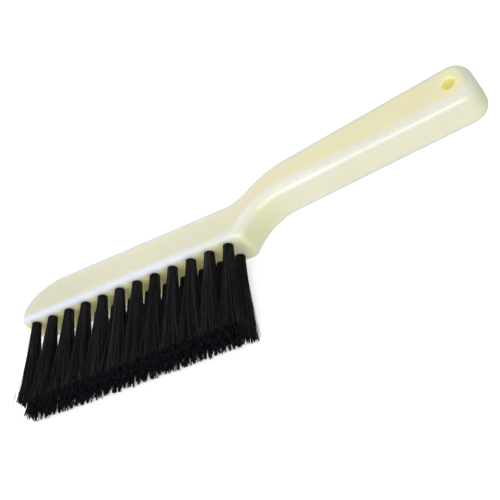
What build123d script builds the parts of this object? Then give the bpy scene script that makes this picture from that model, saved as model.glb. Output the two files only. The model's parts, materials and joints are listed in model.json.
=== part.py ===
from build123d import *
import os
from math import radians, tan

# A hand bee brush, lying on its side. Units are millimetres.
# +X runs from the toe of the head to the butt of the handle.
# +Y points out of the back of the head, so the bristles point to -Y.
# +Z is up, across the width of the brush.
# The outline is drawn with x = 0 at the first tuft and y = 0 on the bristle face.
# At the end every piece is moved, so that the origin is the middle of the footprint.

# Body moulding
body_width = 26.0
head_height = 25.2
toe_overhang = 8.9
toe_curve_length = 33.5
toe_curve_height = 20.0
neck_foot_x = 148.0
neck_angle = 36.0
neck_foot_radius = 24.0
neck_shoulder_radius = 60.0
handle_back_x = 182.0
handle_back_y = 41.4
handle_back_angle = 8.2
handle_belly_x = 178.0
handle_belly_y = 18.9
handle_belly_angle = 4.9
heel_x = 150.6
heel_angle = 63.5
cove_radius = 32.0
butt_x = 296.8
butt_y = 42.0
butt_lean = 12.0
butt_radius_back = 12.0
butt_radius_belly = 10.5
edge_radius = 6.0
bristle_face_edge_radius = 3.2

# Hang hole through both side faces
hang_hole_radius = 4.0
hang_hole_x = 283.7
hang_hole_y = 41.5
hang_hole_rim_radius = 0.8

# Tuft holes, tufts and the anchors that hold them
tufts_per_row = 12
tuft_pitch = 12.7
row_spacing = 12.7
tuft_hole_radius = 2.9
tuft_hole_depth = 13.0
tuft_root_clearance = 0.05
tuft_trim = 54.0
tuft_tip_half_depth = 5.4
tuft_gap = 0.4
fan_reach = 3.2
anchor_thickness = 0.5
anchor_height = 1.6
anchor_bite = 0.35
anchor_above_bottom = 0.6

# Sizes closer than this count as equal when edges are looked up
match_tolerance = 0.01

row_heights = {
    "upper": body_width / 2 + row_spacing / 2,
    "lower": body_width / 2 - row_spacing / 2,
}


def crossing(x1, y1, angle1, x2, y2, angle2):
    """Where two lines meet, each given by a point and its angle to +X in degrees."""
    slope1 = tan(radians(angle1))
    slope2 = tan(radians(angle2))
    x = (y2 - y1 + slope1 * x1 - slope2 * x2) / (slope1 - slope2)
    return (x, y1 + slope1 * (x - x1))


def side_outline():
    """The side view of the moulding: toe, head, neck, handle, butt, cove and heel."""
    toe_top = (toe_curve_length - toe_overhang, head_height)
    neck_foot = (neck_foot_x, head_height)
    handle_back = (handle_back_x, handle_back_y, handle_back_angle)
    handle_belly = (handle_belly_x, handle_belly_y, handle_belly_angle)
    butt_face = (butt_x, butt_y, 90 + butt_lean)
    shoulder = crossing(*neck_foot, neck_angle, *handle_back)
    butt_top = crossing(*handle_back, *butt_face)
    butt_bottom = crossing(*handle_belly, *butt_face)
    cove = crossing(heel_x, 0, heel_angle, *handle_belly)
    heel = (heel_x, 0)
    toe_bottom = (-toe_overhang, 0)
    toe_nose = (-toe_overhang, head_height - toe_curve_height)
    corner_radii = [
        neck_foot_radius,
        neck_shoulder_radius,
        butt_radius_back,
        butt_radius_belly,
        cove_radius,
    ]
    with BuildSketch(Plane.XY) as outline:
        with BuildLine():
            FilletPolyline(
                toe_top, neck_foot, shoulder, butt_top, butt_bottom, cove, heel,
                radius=corner_radii,
            )
            Line(heel, toe_bottom)
            Line(toe_bottom, toe_nose)
            EllipticalCenterArc(
                (toe_top[0], toe_nose[1]),
                toe_curve_length,
                toe_curve_height,
                start_angle=90,
                arc_size=90,
            )
        make_face()
    return outline.sketch


def tuft_places(row):
    """Root centre of every tuft in a row, on the bristle face."""
    return [(i * tuft_pitch, row_heights[row]) for i in range(tufts_per_row)]


def drilled_hole(x, z):
    """The blind hole that one tuft is driven into, along +Y from the bristle face."""
    mouth = Plane(origin=(x, 0, z), z_dir=(0, 1, 0))
    return extrude(mouth * Circle(tuft_hole_radius), tuft_hole_depth)


def anchor(x, z):
    """The flat wire anchor across the bottom of a tuft hole, biting into both walls."""
    middle = tuft_hole_depth - anchor_above_bottom - anchor_height / 2
    length = 2 * (tuft_hole_radius + anchor_bite)
    return Pos(x, middle, z) * Box(length, anchor_height, anchor_thickness)


def hang_hole():
    """The bore along Z near the butt."""
    start = Plane(origin=(hang_hole_x, hang_hole_y, 0))
    return extrude(start * Circle(hang_hole_radius), body_width)


def body():
    """Head and handle in one moulding, with the hang hole and the tuft holes."""
    solid = extrude(side_outline(), body_width)
    side_edges = solid.faces().filter_by(Axis.Z).edges()
    side_edges = [edge for edge in side_edges if edge.center().Y > match_tolerance]
    solid = fillet(side_edges, edge_radius)
    bristle_face = solid.faces().sort_by(Axis.Y)[0]
    solid = fillet(bristle_face.edges(), bristle_face_edge_radius)
    solid = solid - hang_hole()
    circles = solid.edges().filter_by(GeomType.CIRCLE)
    rims = [edge for edge in circles if abs(edge.radius - hang_hole_radius) < match_tolerance]
    solid = fillet(rims, hang_hole_rim_radius)
    places = [place for row in row_heights for place in tuft_places(row)]
    solid = solid - [drilled_hole(x, z) for x, z in places]
    return solid - [anchor(x, z) for x, z in places]


def tuft(index, x, z):
    """One bundle of filaments: a round root in its hole, fanning out to the trimmed tip."""
    root_radius = tuft_hole_radius - tuft_root_clearance
    middle = (tufts_per_row - 1) / 2
    lean = fan_reach * (index - middle) / middle
    tip_pitch = tuft_pitch + fan_reach / middle
    tip_half_width = (tip_pitch - tuft_gap) / 2
    mouth = Plane(origin=(x, 0, z), z_dir=(0, 1, 0))
    tip = Plane(origin=(x + lean, -tuft_trim, z), x_dir=(1, 0, 0), z_dir=(0, 1, 0))
    root = extrude(mouth * Circle(root_radius), tuft_hole_depth)
    brush = loft([tip * Ellipse(tip_half_width, tuft_tip_half_depth),
                  mouth * Circle(root_radius)])
    return root + brush - anchor(x, z)


def main():
    pieces = {"brush_body": [body()], "tuft_anchors": []}
    for row in row_heights:
        for index, (x, z) in enumerate(tuft_places(row)):
            pieces[f"tuft_{row}_{index + 1:02d}"] = [tuft(index, x, z)]
            pieces["tuft_anchors"].append(anchor(x, z))

    # The frame's origin is the middle of the whole brush's footprint.
    boxes = [solid.bounding_box() for solids in pieces.values() for solid in solids]
    low = [min(getattr(box.min, axis) for box in boxes) for axis in "XYZ"]
    high = [max(getattr(box.max, axis) for box in boxes) for axis in "XYZ"]
    to_origin = Pos(-(low[0] + high[0]) / 2, -(low[1] + high[1]) / 2, -low[2])
    print("moved by", to_origin.position)

    os.makedirs("parts", exist_ok=True)
    for name, solids in pieces.items():
        moved = [to_origin * solid.solid() for solid in solids]
        export_step(Compound(moved), f"parts/{name}.step")


main()
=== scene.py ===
# %% [markdown]
# # A hand bee brush
# The brush lies on its side on a table. It is one ivory plastic moulding, head and handle together, with
# two rows of twelve black tufts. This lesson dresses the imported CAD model: the moulding keeps its CAD
# shape and gets a plastic with depth in it, and every tuft is built again from single filaments.

import json
import math

import bpy
import numpy as np
from mathutils import Matrix, Vector


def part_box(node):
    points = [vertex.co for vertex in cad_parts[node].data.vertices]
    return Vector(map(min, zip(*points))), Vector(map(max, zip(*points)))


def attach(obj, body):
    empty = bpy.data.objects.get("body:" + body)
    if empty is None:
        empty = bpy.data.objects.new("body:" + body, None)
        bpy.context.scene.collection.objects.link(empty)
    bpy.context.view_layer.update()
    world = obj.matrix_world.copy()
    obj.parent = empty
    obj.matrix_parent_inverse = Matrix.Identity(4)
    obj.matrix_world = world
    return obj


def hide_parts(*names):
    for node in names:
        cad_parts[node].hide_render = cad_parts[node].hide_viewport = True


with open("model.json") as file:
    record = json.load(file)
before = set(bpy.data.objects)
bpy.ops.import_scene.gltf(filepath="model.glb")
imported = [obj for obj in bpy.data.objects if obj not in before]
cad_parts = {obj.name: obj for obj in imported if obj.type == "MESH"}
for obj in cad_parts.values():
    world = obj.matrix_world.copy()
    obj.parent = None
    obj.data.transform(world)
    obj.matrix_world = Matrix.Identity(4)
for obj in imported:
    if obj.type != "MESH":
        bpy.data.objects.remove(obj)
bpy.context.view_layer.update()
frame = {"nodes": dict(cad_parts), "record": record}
bpy.ops.object.select_all(action="DESELECT")

MM = 0.001

# %% [markdown]
# ## The camera
# The camera looks down on the upper side face and on the bristle face at once, from in front of the
# bristles and a little towards the handle. It is rolled, so that the bristles hang down in the picture.
# A turn about Z for the azimuth, a tilt for the elevation and a turn about its own axis for the roll are
# easier to read than one matrix of nine numbers.

# %% Camera
AZIMUTH = math.radians(35.09)
ELEVATION = math.radians(43.59)
ROLL = math.radians(-47.89)
AIM = Vector((6.36, -4.38, 13.0)) * MM
DISTANCE = 0.652
LENS = 83.94
SENSOR_WIDTH = 36
NEAREST_SEEN = 0.01


def add_camera():
    turn = Matrix.Rotation(AZIMUTH, 4, "Z")
    tilt = Matrix.Rotation(math.pi / 2 - ELEVATION, 4, "X")
    roll = Matrix.Rotation(ROLL, 4, "Z")
    back = Matrix.Translation((0, 0, DISTANCE))
    data = bpy.data.cameras.new("camera")
    data.lens = LENS
    data.sensor_width = SENSOR_WIDTH
    data.clip_start = NEAREST_SEEN
    camera = bpy.data.objects.new("camera", data)
    bpy.context.scene.collection.objects.link(camera)
    camera.matrix_world = Matrix.Translation(AIM) @ turn @ tilt @ roll @ back
    bpy.context.scene.camera = camera
    return camera


camera = add_camera()
print("camera at", [round(v, 3) for v in camera.matrix_world.translation])

# %% [markdown]
# ## Table and light
# Small goods are often shown on a light table: a white sheet that glows a little, so that there is
# hardly a shadow. The sheet is seen by the camera only, and the sky below it lights the lower edges as
# the lamps under a real light table do. The sky is almost even. A broad, cool lamp on the bristles' side
# draws the soft gleam along the handle's rounded edge, and a narrow one the bright line in its middle.
# Lamps above, at the toe, at the back and low in front keep the other faces open.

# %% Table
TABLE_SIZE = 30.0
TABLE_GLOW = 0.5


def add_table():
    bpy.ops.mesh.primitive_plane_add(size=TABLE_SIZE, location=(0, 0, 0))
    table = bpy.context.object
    table.name = "table"
    finish = bpy.data.materials.new("table_white")
    finish.use_nodes = True
    shader = finish.node_tree.nodes["Principled BSDF"]
    shader.inputs["Base Color"].default_value = (0.94, 0.95, 0.95, 1)
    shader.inputs["Emission Color"].default_value = (1, 1, 1, 1)
    shader.inputs["Emission Strength"].default_value = TABLE_GLOW
    shader.inputs["Roughness"].default_value = 0.9
    shader.inputs["Specular IOR Level"].default_value = 0.1
    table.data.materials.append(finish)
    table.visible_diffuse = False
    table.visible_glossy = False


add_table()
print("table", TABLE_SIZE, "m wide")

# %% Sky and lamps
SKY_BRIGHT_SIDE = (-0.55, -0.60, 0.55)
SKY_DIM = (0.54, 0.62, 0.54, 1)
SKY_BRIGHT = (0.56, 0.56, 0.57, 1)
SKY_CHANGE = (-0.9, 0.8)
BRISTLES_SIDE = (-0.42, -0.69, 0.59)
LAMPS = {
    "key_lamp": (BRISTLES_SIDE, 1.7, (1.3, 0.9), 3.0, (0.95, 0.94, 1.0)),
    "line_lamp": (BRISTLES_SIDE, 1.6, (0.7, 0.02), 0.22, (0.94, 0.94, 1.0)),
    "toe_lamp": ((-0.85, 0.10, 0.50), 1.5, (1.0, 1.0), 3.2, (0.78, 0.80, 1.0)),
    "back_lamp": ((-0.30, 0.75, 0.60), 1.5, (1.0, 1.0), 2.6, (1.0, 0.93, 0.62)),
    "low_lamp": ((0.10, -0.97, 0.12), 1.5, (1.4, 0.8), 17.0, (0.98, 1.0, 0.99)),
    "top_lamp": ((0.25, 0.20, 0.95), 1.4, (1.0, 1.0), 3.6, (1.0, 0.98, 0.94)),
}


def add_sky():
    """A sky that is bright on one side and dims evenly towards the other."""
    world = bpy.data.worlds.new("sky")
    world.use_nodes = True
    tree = world.node_tree
    direction = tree.nodes.new("ShaderNodeTexCoord")
    facing = tree.nodes.new("ShaderNodeVectorMath")
    facing.operation = "DOT_PRODUCT"
    facing.inputs[1].default_value = Vector(SKY_BRIGHT_SIDE).normalized()
    share = tree.nodes.new("ShaderNodeMapRange")
    share.inputs["From Min"].default_value = SKY_CHANGE[0]
    share.inputs["From Max"].default_value = SKY_CHANGE[1]
    mix = tree.nodes.new("ShaderNodeMix")
    mix.data_type = "RGBA"
    mix.inputs["A"].default_value = SKY_DIM
    mix.inputs["B"].default_value = SKY_BRIGHT
    tree.links.new(direction.outputs["Generated"], facing.inputs[0])
    tree.links.new(facing.outputs["Value"], share.inputs["Value"])
    tree.links.new(share.outputs["Result"], mix.inputs["Factor"])
    tree.links.new(mix.outputs["Result"], tree.nodes["Background"].inputs["Color"])
    bpy.context.scene.world = world


def add_lamp(name, towards, distance, size, watts, colour):
    """An area lamp in the direction given from the middle of the brush, facing it."""
    data = bpy.data.lights.new(name, "AREA")
    data.shape = "RECTANGLE"
    data.size, data.size_y = size
    data.energy = watts
    data.color = colour
    lamp = bpy.data.objects.new(name, data)
    bpy.context.scene.collection.objects.link(lamp)
    direction = Vector(towards).normalized()
    across = Vector((1, 0, 0))
    across = (across - direction * across.dot(direction)).normalized()
    upright = direction.cross(across)
    turn = Matrix((across, upright, direction)).transposed().to_4x4()
    lamp.matrix_world = Matrix.Translation(direction * distance) @ turn


add_sky()
for lamp_name, lamp_settings in LAMPS.items():
    add_lamp(lamp_name, *lamp_settings)
bpy.context.scene.view_settings.view_transform = "Standard"
print("lamps", list(LAMPS))

# %% [markdown]
# ## Shared effects
# Three effects are kept apart from the finishes, each as a node group with named inputs. Drift is a slow
# change of tone over a large piece. Grain is the fine, soft unevenness of a moulded or drawn skin, so the
# plastic and the steel both use it. Scuffs are the thin, short rubs that handling leaves. Each group puts
# out plain values, and the shader stays in the material.

# %% Node group helpers


def new_group(name, inputs, outputs):
    """An empty shader group with float sockets; inputs is a list of (name, value)."""
    group = bpy.data.node_groups.new(name, "ShaderNodeTree")
    for label, value in inputs:
        socket = group.interface.new_socket(label, in_out="INPUT", socket_type="NodeSocketFloat")
        socket.default_value = value
    for label in outputs:
        group.interface.new_socket(label, in_out="OUTPUT", socket_type="NodeSocketFloat")
    entry = group.nodes.new("NodeGroupInput")
    leave = group.nodes.new("NodeGroupOutput")
    return group, entry, leave


def add_node(tree, kind, **settings):
    """A node with its properties and its input values set by name."""
    node = tree.nodes.new(kind)
    for label, value in settings.items():
        if hasattr(node, label):
            setattr(node, label, value)
        else:
            node.inputs[label.replace("_", " ")].default_value = value
    return node


def scaled_coordinates(tree, stretch=(1, 1, 1)):
    """Object coordinates in millimetres, stretched along each axis."""
    coordinates = tree.nodes.new("ShaderNodeTexCoord")
    mapping = tree.nodes.new("ShaderNodeMapping")
    mapping.inputs["Scale"].default_value = [s / MM for s in stretch]
    tree.links.new(coordinates.outputs["Object"], mapping.inputs["Vector"])
    return mapping.outputs["Vector"]


# %% Drift, grain and scuffs
STREAK_STRETCH = (0.12, 1.6, 1.6)


def make_soft_noise(name, size, output, detail, roughness):
    """Soft noise whose spots are about Size mm across."""
    group, entry, leave = new_group(name, [("Size mm", size)], [output])
    divide = add_node(group, "ShaderNodeMath", operation="DIVIDE")
    divide.inputs[0].default_value = 1.0
    group.links.new(entry.outputs["Size mm"], divide.inputs[1])
    noise = add_node(group, "ShaderNodeTexNoise", Detail=detail, Roughness=roughness)
    group.links.new(scaled_coordinates(group), noise.inputs["Vector"])
    group.links.new(divide.outputs[0], noise.inputs["Scale"])
    group.links.new(noise.outputs["Fac"], leave.inputs[output])
    return group


def part_above(tree, value, start, end):
    """0 below start, rising evenly to 1 at end."""
    node = tree.nodes.new("ShaderNodeMapRange")
    node.inputs["From Min"].default_value = start
    node.inputs["From Max"].default_value = end
    tree.links.new(value, node.inputs["Value"])
    return node.outputs["Result"]


def combine(tree, first, second, operation="MULTIPLY"):
    """Two masks made one: by product where both have to hold, or by MAXIMUM where one is enough."""
    node = add_node(tree, "ShaderNodeMath", operation=operation)
    tree.links.new(first, node.inputs[0])
    tree.links.new(second, node.inputs[1])
    return node.outputs[0]


def make_scuffs():
    """Streaks along the brush that show only in some patches."""
    group, entry, leave = new_group("scuffs", [("Amount", 0.5)], ["Mask"])
    streaks = add_node(group, "ShaderNodeTexNoise", Scale=0.9, Detail=5.0, Roughness=0.7)
    group.links.new(scaled_coordinates(group, STREAK_STRETCH), streaks.inputs["Vector"])
    patches = add_node(group, "ShaderNodeTexNoise", Scale=0.05, Detail=2.0)
    group.links.new(scaled_coordinates(group), patches.inputs["Vector"])
    thin = part_above(group, streaks.outputs["Fac"], 0.60, 0.74)
    here = part_above(group, patches.outputs["Fac"], 0.45, 0.65)
    amount = combine(group, combine(group, thin, here), entry.outputs["Amount"])
    group.links.new(amount, leave.inputs["Mask"])
    return group


DRIFT = make_soft_noise("drift", 40.0, "Mask", detail=3.0, roughness=0.5)
GRAIN = make_soft_noise("grain", 0.6, "Height", detail=4.0, roughness=0.6)
SCUFFS = make_scuffs()


def place_group(tree, group, **values):
    node = tree.nodes.new("ShaderNodeGroup")
    node.node_tree = group
    for label, value in values.items():
        node.inputs[label.replace("_", " ")].default_value = value
    return node


print("groups", [g.name for g in (DRIFT, GRAIN, SCUFFS)])

# %% [markdown]
# ## Ivory plastic
# The moulding is a plain, milky ivory plastic with a gloss. Light goes some millimetres into it and
# comes out yellower. Subsurface scattering with a shorter reach for blue does that. Its colour also
# changes from place to place. Towards its rounded edges it is painted whiter, and bluish on the head:
# a painted highlight. The grip is a little yellower than the head. In hollows, under the neck and
# between the tufts it is painted yellower, as painted bounce light, and the bristle face and the wall of
# the hang hole get a weak emission, a painted glow that stands for light come through the plastic.
#
# A bevel node blurs the surface direction over several millimetres, so it tells an edge from a flat face,
# and an ambient occlusion node finds the hollows, both without any drawing by hand. The bristle face, the
# cove under the neck and the hole are found by their places. The skin has a soft grain and a few scuffs
# that break up the highlight.

# %% Ivory tints, painted highlight, painted bounce light and painted glow
# Whiter towards the rounded edges, and bluish on the head: a painted highlight along the edges.
HEAD_EDGE_PAINTED_HIGHLIGHT = (0.82, 0.825, 0.88)
GRIP_EDGE_PAINTED_HIGHLIGHT = (0.745, 0.737, 0.690)
HEAD_IVORY = (0.81, 0.765, 0.615)
GRIP_IVORY = (0.83, 0.785, 0.560)
# Yellower in the hollows found by ambient occlusion: painted bounce light.
HOLLOW_PAINTED_BOUNCE = (0.82, 0.76, 0.42)
# Golden on the bristle face between the tufts, where they shade it: painted bounce light.
BETWEEN_TUFTS_PAINTED_BOUNCE = (0.86, 0.79, 0.42)
# Darker and yellower under the neck: painted shade with the yellow of bounced light.
COVE_PAINTED_SHADE_TINT = (0.985, 0.985, 0.82)
DRIFT_TINT = (0.955, 0.950, 0.925)
# Emission between the tufts and in the hang hole: a painted glow for light come through the plastic.
BETWEEN_TUFTS_PAINTED_GLOW = (0.085, 0.075, 0.022)
HOLE_PAINTED_GLOW = (0.16, 0.17, 0.080)

# %% Places on the moulding
BRISTLE_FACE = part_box("brush_body")[0].y
HALF_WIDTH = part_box("brush_body")[1].z / 2
HEEL_PLACE = (6.8 * MM, BRISTLE_FACE)
HOLE_PLACE = next(m for m in frame["record"]["mounts"] if m["name"] == "hang_hole")["pos_m"]
print("bristle face at Y", round(BRISTLE_FACE, 5), "and hang hole at", HOLE_PLACE)

# %% Material helpers


def feed(tree, socket, value):
    """Links a socket to an input, or sets the input to a constant colour."""
    if isinstance(value, bpy.types.NodeSocket):
        tree.links.new(value, socket)
    else:
        socket.default_value = (*value, 1)


def mix_colours(tree, factor, first, second, blend="MIX"):
    node = tree.nodes.new("ShaderNodeMix")
    node.data_type = "RGBA"
    node.blend_type = blend
    feed(tree, node.inputs["A"], first)
    feed(tree, node.inputs["B"], second)
    tree.links.new(factor, node.inputs["Factor"])
    return node.outputs["Result"]


def map_value(tree, value, low, high, start=0.0, end=1.0):
    """Maps start..end to low..high, smoothly and clamped."""
    node = tree.nodes.new("ShaderNodeMapRange")
    node.interpolation_type = "SMOOTHSTEP"
    node.inputs["From Min"].default_value = start
    node.inputs["From Max"].default_value = end
    node.inputs["To Min"].default_value = low
    node.inputs["To Max"].default_value = high
    tree.links.new(value, node.inputs["Value"])
    return node.outputs["Result"]


def along_axis(tree, vector, axis):
    node = tree.nodes.new("ShaderNodeSeparateXYZ")
    tree.links.new(vector, node.inputs["Vector"])
    return node.outputs[axis]


def size_of(tree, value):
    node = add_node(tree, "ShaderNodeMath", operation="ABSOLUTE")
    tree.links.new(value, node.inputs[0])
    return node.outputs[0]


def near_line(tree, place, near, far):
    """1 nearer than near mm to a line straight across the brush at place, and 0 beyond far mm."""
    distance = add_node(tree, "ShaderNodeVectorMath", operation="DISTANCE")
    distance.inputs[1].default_value = (place[0] / MM, place[1] / MM, 0)
    tree.links.new(scaled_coordinates(tree, (1, 1, 0)), distance.inputs[0])
    return map_value(tree, distance.outputs["Value"], 1.0, 0.0, near, far)


# %% Masks that find the parts of the moulding
EDGE_REACH = 8.5 * MM
HOLLOW_REACH = 60 * MM
RAY_COUNT = 8
NARROW_FACE_SHARE = 0.55
BRISTLE_FACE_DEPTH = 0.6
ROWS_REACH = (7.0, 11.5)
BEFORE_HEEL = (12, 3)
HOLE_SURROUND = (6.0, 10.0)
HOLE_WALL = (4.02, 4.4)
COVE_REACH = (18.0, 50.0)


def flatness(tree):
    """1 in the middle of a side face and round the hang hole, about half on the narrower
    belly and back, and 0 at a rounded edge."""
    blurred = add_node(tree, "ShaderNodeBevel", samples=RAY_COUNT, Radius=EDGE_REACH)
    own = add_node(
        tree, "ShaderNodeVectorTransform", vector_type="NORMAL", convert_from="WORLD", convert_to="OBJECT"
    )
    tree.links.new(blurred.outputs["Normal"], own.inputs["Vector"])
    upward = size_of(tree, along_axis(tree, own.outputs["Vector"], "Z"))
    side_face = map_value(tree, upward, 0.0, 1.0, 0.94, 1.0)
    belly_or_back = map_value(tree, upward, NARROW_FACE_SHARE, 0.0, 0.0, 0.40)
    either = combine(tree, side_face, belly_or_back, "MAXIMUM")
    return combine(tree, either, near_line(tree, HOLE_PLACE, *HOLE_SURROUND), "MAXIMUM")


def hollowness(tree):
    """0 on open faces, rising to 1 in the hollows of the moulding."""
    openness = add_node(
        tree, "ShaderNodeAmbientOcclusion", samples=RAY_COUNT, only_local=True, Distance=HOLLOW_REACH
    )
    return map_value(tree, openness.outputs["AO"], 1.0, 0.0, 0.70, 0.98)


def among_tufts(tree):
    """1 on the bristle face between the two rows, and 0 on the rounding round it and at the heel."""
    place = scaled_coordinates(tree)
    face = BRISTLE_FACE / MM
    heel = HEEL_PLACE[0] / MM
    low = map_value(tree, along_axis(tree, place, "Y"), 1.0, 0.0, face, face + BRISTLE_FACE_DEPTH)
    offset = add_node(tree, "ShaderNodeMath", operation="SUBTRACT")
    offset.inputs[1].default_value = HALF_WIDTH / MM
    tree.links.new(along_axis(tree, place, "Z"), offset.inputs[0])
    between_rows = map_value(tree, size_of(tree, offset.outputs[0]), 1.0, 0.0, *ROWS_REACH)
    fade = [heel - distance for distance in BEFORE_HEEL]
    before_heel = map_value(tree, along_axis(tree, place, "X"), 1.0, 0.0, *fade)
    return combine(tree, combine(tree, low, between_rows), before_heel)


def cove(tree):
    """1 in the hollow under the neck, and 0 on the side faces and farther along the handle."""
    coordinates = tree.nodes.new("ShaderNodeTexCoord")
    facing = along_axis(tree, coordinates.outputs["Normal"], "Y")
    facing_down = map_value(tree, facing, 1.0, 0.0, -0.7, -0.05)
    return combine(tree, facing_down, near_line(tree, HEEL_PLACE, *COVE_REACH))


# %% Ivory plastic
GRIP_START, GRIP_END = -30, 90
SHINY, RUBBED = 0.12, 0.30


def make_ivory_plastic():
    material = bpy.data.materials.new("ivory_plastic")
    material.use_nodes = True
    tree = material.node_tree
    shader = tree.nodes["Principled BSDF"]
    shader.inputs["IOR"].default_value = 1.49
    shader.inputs["Subsurface Weight"].default_value = 1.0
    shader.inputs["Subsurface Radius"].default_value = (1.0, 0.85, 0.3)
    shader.inputs["Subsurface Scale"].default_value = 10 * MM
    # The emission carries only the painted glow.
    shader.inputs["Emission Strength"].default_value = 1.0
    drift = place_group(tree, DRIFT, Size_mm=45.0)
    scuffs = place_group(tree, SCUFFS, Amount=0.7)
    grain = place_group(tree, GRAIN, Size_mm=0.7)
    place = scaled_coordinates(tree)
    toward_butt = map_value(tree, along_axis(tree, place, "X"), 0.0, 1.0, GRIP_START, GRIP_END)
    middle = mix_colours(tree, toward_butt, HEAD_IVORY, GRIP_IVORY)
    # The rounded edges get the painted highlight, and the flat faces the plain ivory.
    edge_highlight = mix_colours(tree, toward_butt, HEAD_EDGE_PAINTED_HIGHLIGHT, GRIP_EDGE_PAINTED_HIGHLIGHT)
    colour = mix_colours(tree, flatness(tree), edge_highlight, middle)
    # Painted bounce light: yellower in the hollows.
    colour = mix_colours(tree, hollowness(tree), colour, HOLLOW_PAINTED_BOUNCE)
    # Painted shade in the cove under the neck.
    colour = mix_colours(tree, cove(tree), colour, COVE_PAINTED_SHADE_TINT, "MULTIPLY")
    between_tufts = among_tufts(tree)
    # Painted bounce light on the bristle face between the tufts.
    colour = mix_colours(tree, between_tufts, colour, BETWEEN_TUFTS_PAINTED_BOUNCE)
    colour = mix_colours(tree, drift.outputs["Mask"], colour, DRIFT_TINT, "MULTIPLY")
    tree.links.new(colour, shader.inputs["Base Color"])
    # Painted glow between the tufts and on the wall of the hang hole.
    painted_glow = mix_colours(tree, between_tufts, (0, 0, 0), BETWEEN_TUFTS_PAINTED_GLOW)
    painted_glow = mix_colours(tree, near_line(tree, HOLE_PLACE, *HOLE_WALL), painted_glow, HOLE_PAINTED_GLOW)
    tree.links.new(painted_glow, shader.inputs["Emission Color"])
    gloss = map_value(tree, scuffs.outputs["Mask"], SHINY, RUBBED)
    tree.links.new(gloss, shader.inputs["Roughness"])
    bump = tree.nodes.new("ShaderNodeBump")
    bump.inputs["Strength"].default_value = 0.05
    bump.inputs["Distance"].default_value = 0.1 * MM
    tree.links.new(grain.outputs["Height"], bump.inputs["Height"])
    tree.links.new(bump.outputs["Normal"], shader.inputs["Normal"])
    return material


# %% [markdown]
# ## The moulding
# The CAD mesh has the right shape, but its skin is split along every seam between two faces, so a long
# highlight would wander. A merged copy, whose surface directions lean to the larger faces beside them,
# draws it straight. The tuft holes and other sharp edges stay sharp.

# %% Moulding
SMOOTH_ANGLE = math.radians(30)
MERGE_DISTANCE = 0.001 * MM
LARGE_FACES_ONLY = 100


def select_only(piece):
    """Selects one piece and makes it active, for the operators that follow."""
    bpy.ops.object.select_all(action="DESELECT")
    piece.select_set(True)
    bpy.context.view_layer.objects.active = piece


def merged_copy(node_name, name):
    """A copy of a CAD node in one skin, shaded as true curves and flat faces."""
    source = frame["nodes"][node_name]
    piece = source.copy()
    piece.data = source.data.copy()
    piece.name = name
    bpy.context.scene.collection.objects.link(piece)
    select_only(piece)
    bpy.ops.mesh.customdata_custom_splitnormals_clear()
    bpy.ops.object.mode_set(mode="EDIT")
    bpy.ops.mesh.select_all(action="SELECT")
    bpy.ops.mesh.remove_doubles(threshold=MERGE_DISTANCE)
    bpy.ops.object.mode_set(mode="OBJECT")
    bpy.ops.object.shade_smooth_by_angle(angle=SMOOTH_ANGLE)
    lean = piece.modifiers.new("lean_to_large_faces", "WEIGHTED_NORMAL")
    lean.weight = LARGE_FACES_ONLY
    lean.keep_sharp = True
    bpy.ops.object.modifier_apply(modifier=lean.name)
    return piece


moulding = merged_copy("brush_body", "moulding")
moulding.data.materials.clear()
moulding.data.materials.append(make_ivory_plastic())
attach(moulding, "root")
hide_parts("brush_body")
print("moulding", len(moulding.data.polygons), "faces, at", moulding.matrix_world.translation[:])

# %% [markdown]
# ## Wire anchors
# Each tuft is folded over a short flat wire that is driven across the bottom of its hole. The anchors
# are hidden in the head, so the CAD node stays as it is and gets a steel with a fine grain, which is
# darker and brighter by turns, as drawn wire is.

# %% Drawn steel
DARK_STEEL = (0.48, 0.48, 0.47)
BRIGHT_STEEL = (0.66, 0.65, 0.63)


def make_drawn_steel():
    material = bpy.data.materials.new("drawn_steel")
    material.use_nodes = True
    tree = material.node_tree
    shader = tree.nodes["Principled BSDF"]
    shader.inputs["Metallic"].default_value = 1.0
    grain = place_group(tree, GRAIN, Size_mm=0.2)
    colour = mix_colours(tree, grain.outputs["Height"], DARK_STEEL, BRIGHT_STEEL)
    tree.links.new(colour, shader.inputs["Base Color"])
    gloss = map_value(tree, grain.outputs["Height"], 0.25, 0.5)
    tree.links.new(gloss, shader.inputs["Roughness"])
    return material


anchors = frame["nodes"]["tuft_anchors"]
anchors.data.materials.clear()
anchors.data.materials.append(make_drawn_steel())
print("anchors", len(anchors.data.polygons), "faces")

# %% [markdown]
# ## Black filament
# The filaments are black nylon, about a fifth of a millimetre thick. Up close each has a soft gleam along
# its length, and no two lie the same way. That gleam is painted in: a tone that differs at random from
# strand to strand makes a few strands paler and glossier, a painted sheen, and a paler cut end is a
# painted highlight. That tone is stored on the mesh as an attribute when the tuft is made, and the
# material reads it.

# %% Black filament
# The pale end is a painted sheen on a few strands and a painted highlight on cut ends.
DARK_STRAND = (0.0008, 0.0008, 0.0014)
PALE_STRAND = (0.045, 0.041, 0.062)


def make_black_filament():
    material = bpy.data.materials.new("black_filament")
    material.use_nodes = True
    tree = material.node_tree
    shader = tree.nodes["Principled BSDF"]
    shader.inputs["IOR"].default_value = 1.5
    shader.inputs["Specular IOR Level"].default_value = 0.2
    tone = tree.nodes.new("ShaderNodeAttribute")
    tone.attribute_name = "strand_tone"
    colour = mix_colours(tree, tone.outputs["Fac"], DARK_STRAND, PALE_STRAND)
    tree.links.new(colour, shader.inputs["Base Color"])
    gloss = map_value(tree, tone.outputs["Fac"], 0.65, 0.33)
    tree.links.new(gloss, shader.inputs["Roughness"])
    return material


BLACK_FILAMENT = make_black_filament()
print("filament tones from", DARK_STRAND, "to", PALE_STRAND)

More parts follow.
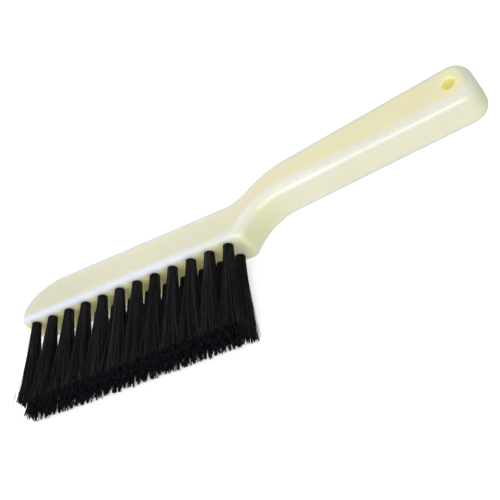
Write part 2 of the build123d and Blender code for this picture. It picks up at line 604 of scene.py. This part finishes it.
# %% [markdown]
# ## One tuft
# A real tuft is a bundle of straight filaments pushed into a round hole. Where it leaves the hole it is
# as tight and as round as the hole, and from there it opens out like a cone. The tips are trimmed to one
# plane, but they stick together in small clumps of slightly different length, so the edge is ragged.
#
# A cylinder can't show that, so each filament is a spline of one curve object with a round bevel, which
# is the same as laying hair by hand. Converting the curve gives the mesh. Root places come from a
# sunflower spiral, which fills a disc evenly, and the same spiral spread over the tip's outline gives
# each filament its own end.

# %% Sizes read from a CAD tuft
FILAMENT_RADIUS = 0.11 * MM
FILAMENTS = 740
RINGS = 9
ROOT_IN_HOLE = 3.0 * MM
GOLDEN_ANGLE = math.pi * (3 - math.sqrt(5))
TRIM_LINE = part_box("tuft_upper_01")[0].y
TABLE_CLEARANCE = 0.3 * MM
SAME_PLANE = 0.01 * MM


def tuft_sizes(node_name):
    """Root centre and radius, tip centre and half sizes of a CAD tuft, as (x, z) pairs."""
    places = np.array([v.co for v in frame["nodes"][node_name].data.vertices])
    root = places[places[:, 1] > places[:, 1].max() - SAME_PLANE][:, [0, 2]]
    tip = places[places[:, 1] < places[:, 1].min() + SAME_PLANE][:, [0, 2]]
    root_middle = (root.min(0) + root.max(0)) / 2
    tip_middle = (tip.min(0) + tip.max(0)) / 2
    root_radius = np.ptp(root, axis=0).max() / 2
    return root_middle, root_radius, tip_middle, np.ptp(tip, axis=0) / 2


print("first tuft", tuft_sizes("tuft_upper_01"))

# %% Where each filament runs
CLUMPS = 50
CLUMP_PULL = (0.2, 0.7)
CORNER_FILL = 0.95
TIP_SPREAD = (1.20, 1.12)
EXTRA_LENGTH = 1.3 * MM
TIP_SCATTER = 0.8 * MM
CLUMP_LENGTH = 0.26 * MM
TIP_LENGTH = 0.12 * MM
LONGEST = 1.1 * MM
BOW = 0.8 * MM
CUT_END = 0.985
STRAYS = 7
STRAY_REACH = 2.2 * MM
END_STRAYS = 12
END_STRAY_REACH = 5.5 * MM


def spiral(rng, count):
    """Points that fill a unit disc evenly, with a little disorder."""
    number = np.arange(count) + 0.5
    radius = np.sqrt(number / count)
    angle = number * GOLDEN_ANGLE + rng.normal(0, 0.08, count)
    return radius, angle


def tuft_paths(node_name, end_side, tuck, rng):
    """The line of every filament in a tuft: an array of filaments, rings and XYZ.
    end_side is -1 or 1 for a tuft at the toe or the heel, and 0 for any other. The outer
    tips of an end tuft are drawn in, by tuck at the edge of the CAD tip and by more beyond
    it, or spread out where tuck is below 0."""
    root_middle, root_radius, tip_middle, tip_half = tuft_sizes(node_name)
    radius, angle = spiral(rng, FILAMENTS)
    disc = np.stack([radius * np.cos(angle), radius * np.sin(angle)], axis=1)
    root = root_middle + disc * (root_radius - FILAMENT_RADIUS)
    square = 1 / np.maximum(abs(np.cos(angle)), abs(np.sin(angle))) ** CORNER_FILL
    tip = tip_middle + disc * square[:, None] * tip_half * TIP_SPREAD
    tip += rng.normal(0, TIP_SCATTER, tip.shape)

    heads = tip[rng.choice(FILAMENTS, CLUMPS, replace=False)]
    nearest = np.argmin(((tip[:, None] - heads[None]) ** 2).sum(2), axis=1)
    tip += (heads[nearest] - tip) * rng.uniform(*CLUMP_PULL, (FILAMENTS, 1))
    outward = np.clip((tip[:, 0] - tip_middle[0]) * end_side / tip_half[0], 0, None)
    tip[:, 0] -= end_side * tuck * outward
    strays = rng.choice(FILAMENTS, STRAYS, replace=False)
    tip[strays] += rng.normal(0, STRAY_REACH, (STRAYS, 2))
    tip[-END_STRAYS:, 0] += end_side * rng.uniform(0.2, 1.0, END_STRAYS) * END_STRAY_REACH
    low, high = TABLE_CLEARANCE, 2 * HALF_WIDTH - TABLE_CLEARANCE
    tip[:, 1] = np.clip(tip[:, 1], low, high)
    length = rng.normal(0, CLUMP_LENGTH, CLUMPS)[nearest] + rng.normal(0, TIP_LENGTH, FILAMENTS)
    length = np.clip(length, -LONGEST, LONGEST)

    along = np.append(np.linspace(0, CUT_END, RINGS - 1), 1)
    spread = 0.5 * along + 0.5 * along ** 2
    bow = rng.normal(0, BOW, (FILAMENTS, 1, 2)) * np.sin(math.pi * along)[None, :, None]
    across = root[:, None] + (tip - root)[:, None] * spread[None, :, None] + bow * along[None, :, None]
    start = BRISTLE_FACE + ROOT_IN_HOLE
    end = TRIM_LINE - EXTRA_LENGTH + length
    down = start + (end - start)[:, None] * along[None]
    paths = np.empty((FILAMENTS, RINGS, 3))
    paths[:, :, 0] = across[:, :, 0]
    paths[:, :, 1] = down
    paths[:, :, 2] = across[:, :, 1]
    return paths


# %% From lines to a tuft mesh


def curve_from_paths(name, paths):
    """One curve object with a round strand along every path."""
    curve = bpy.data.curves.new(name, "CURVE")
    curve.dimensions = "3D"
    curve.bevel_depth = FILAMENT_RADIUS
    curve.bevel_resolution = 0
    curve.use_fill_caps = True
    for path in paths:
        spline = curve.splines.new("POLY")
        spline.points.add(len(path) - 1)
        homogeneous = np.hstack([path, np.ones((len(path), 1))])
        spline.points.foreach_set("co", homogeneous.ravel())
    piece = bpy.data.objects.new(name, curve)
    bpy.context.scene.collection.objects.link(piece)
    return piece


def tuft_mesh(name, paths, rng):
    """The filaments of one tuft as a mesh, each with its own tone, a painted sheen, and a paler cut end,
    a painted highlight.
    """
    piece = curve_from_paths(name, paths)
    select_only(piece)
    bpy.ops.object.convert(target="MESH")
    piece = bpy.context.object
    mesh = piece.data
    each = len(mesh.vertices) // len(paths)
    # A random tone per strand, mostly near 0; the few high ones carry the painted sheen.
    tone = np.repeat(rng.uniform(0, 1, (len(paths), 1)) ** 4, each, axis=1)
    last_ring = each // RINGS
    # Paler cut ends: a painted highlight where the tips catch the light.
    tone[:, -last_ring:] = np.maximum(tone[:, -last_ring:], rng.uniform(0, 1, (len(paths), 1)) ** 2)
    attribute = mesh.attributes.new("strand_tone", "FLOAT", "POINT")
    attribute.data.foreach_set("value", tone.ravel().astype(np.float32))
    bpy.ops.object.shade_smooth()
    return piece


# %% [markdown]
# ## The two rows
# All tufts follow the same recipe. Each has its own seed, so no two are alike, and each rides on the
# brush and stands for its plain CAD solid. The outer tips of the tufts at the two ends have no neighbour
# to lean on, so each of these four is drawn in or spread by an amount of its own.

# %% Every tuft
FIRST_SEED = 100
END_TUFTS = {
    "tuft_upper_01": (-1, 4.8 * MM),
    "tuft_lower_01": (-1, -1.8 * MM),
    "tuft_upper_12": (1, 1.5 * MM),
    "tuft_lower_12": (1, 3.0 * MM),
}


def add_tuft(node_name, seed):
    """Builds one tuft from filaments in the place of its CAD solid."""
    rng = np.random.default_rng(seed)
    end_side, tuck = END_TUFTS.get(node_name, (0, 0))
    paths = tuft_paths(node_name, end_side, tuck, rng)
    piece = tuft_mesh(node_name + "_filaments", paths, rng)
    piece.data.materials.clear()
    piece.data.materials.append(BLACK_FILAMENT)
    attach(piece, "root")
    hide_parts(node_name)
    return piece


tuft_names = sorted(name for name in frame["nodes"] if name[:5] == "tuft_" and name != "tuft_anchors")
tufts = [add_tuft(name, FIRST_SEED + number) for number, name in enumerate(tuft_names)]
print(len(tufts), "tufts,", sum(len(t.data.polygons) for t in tufts), "faces")
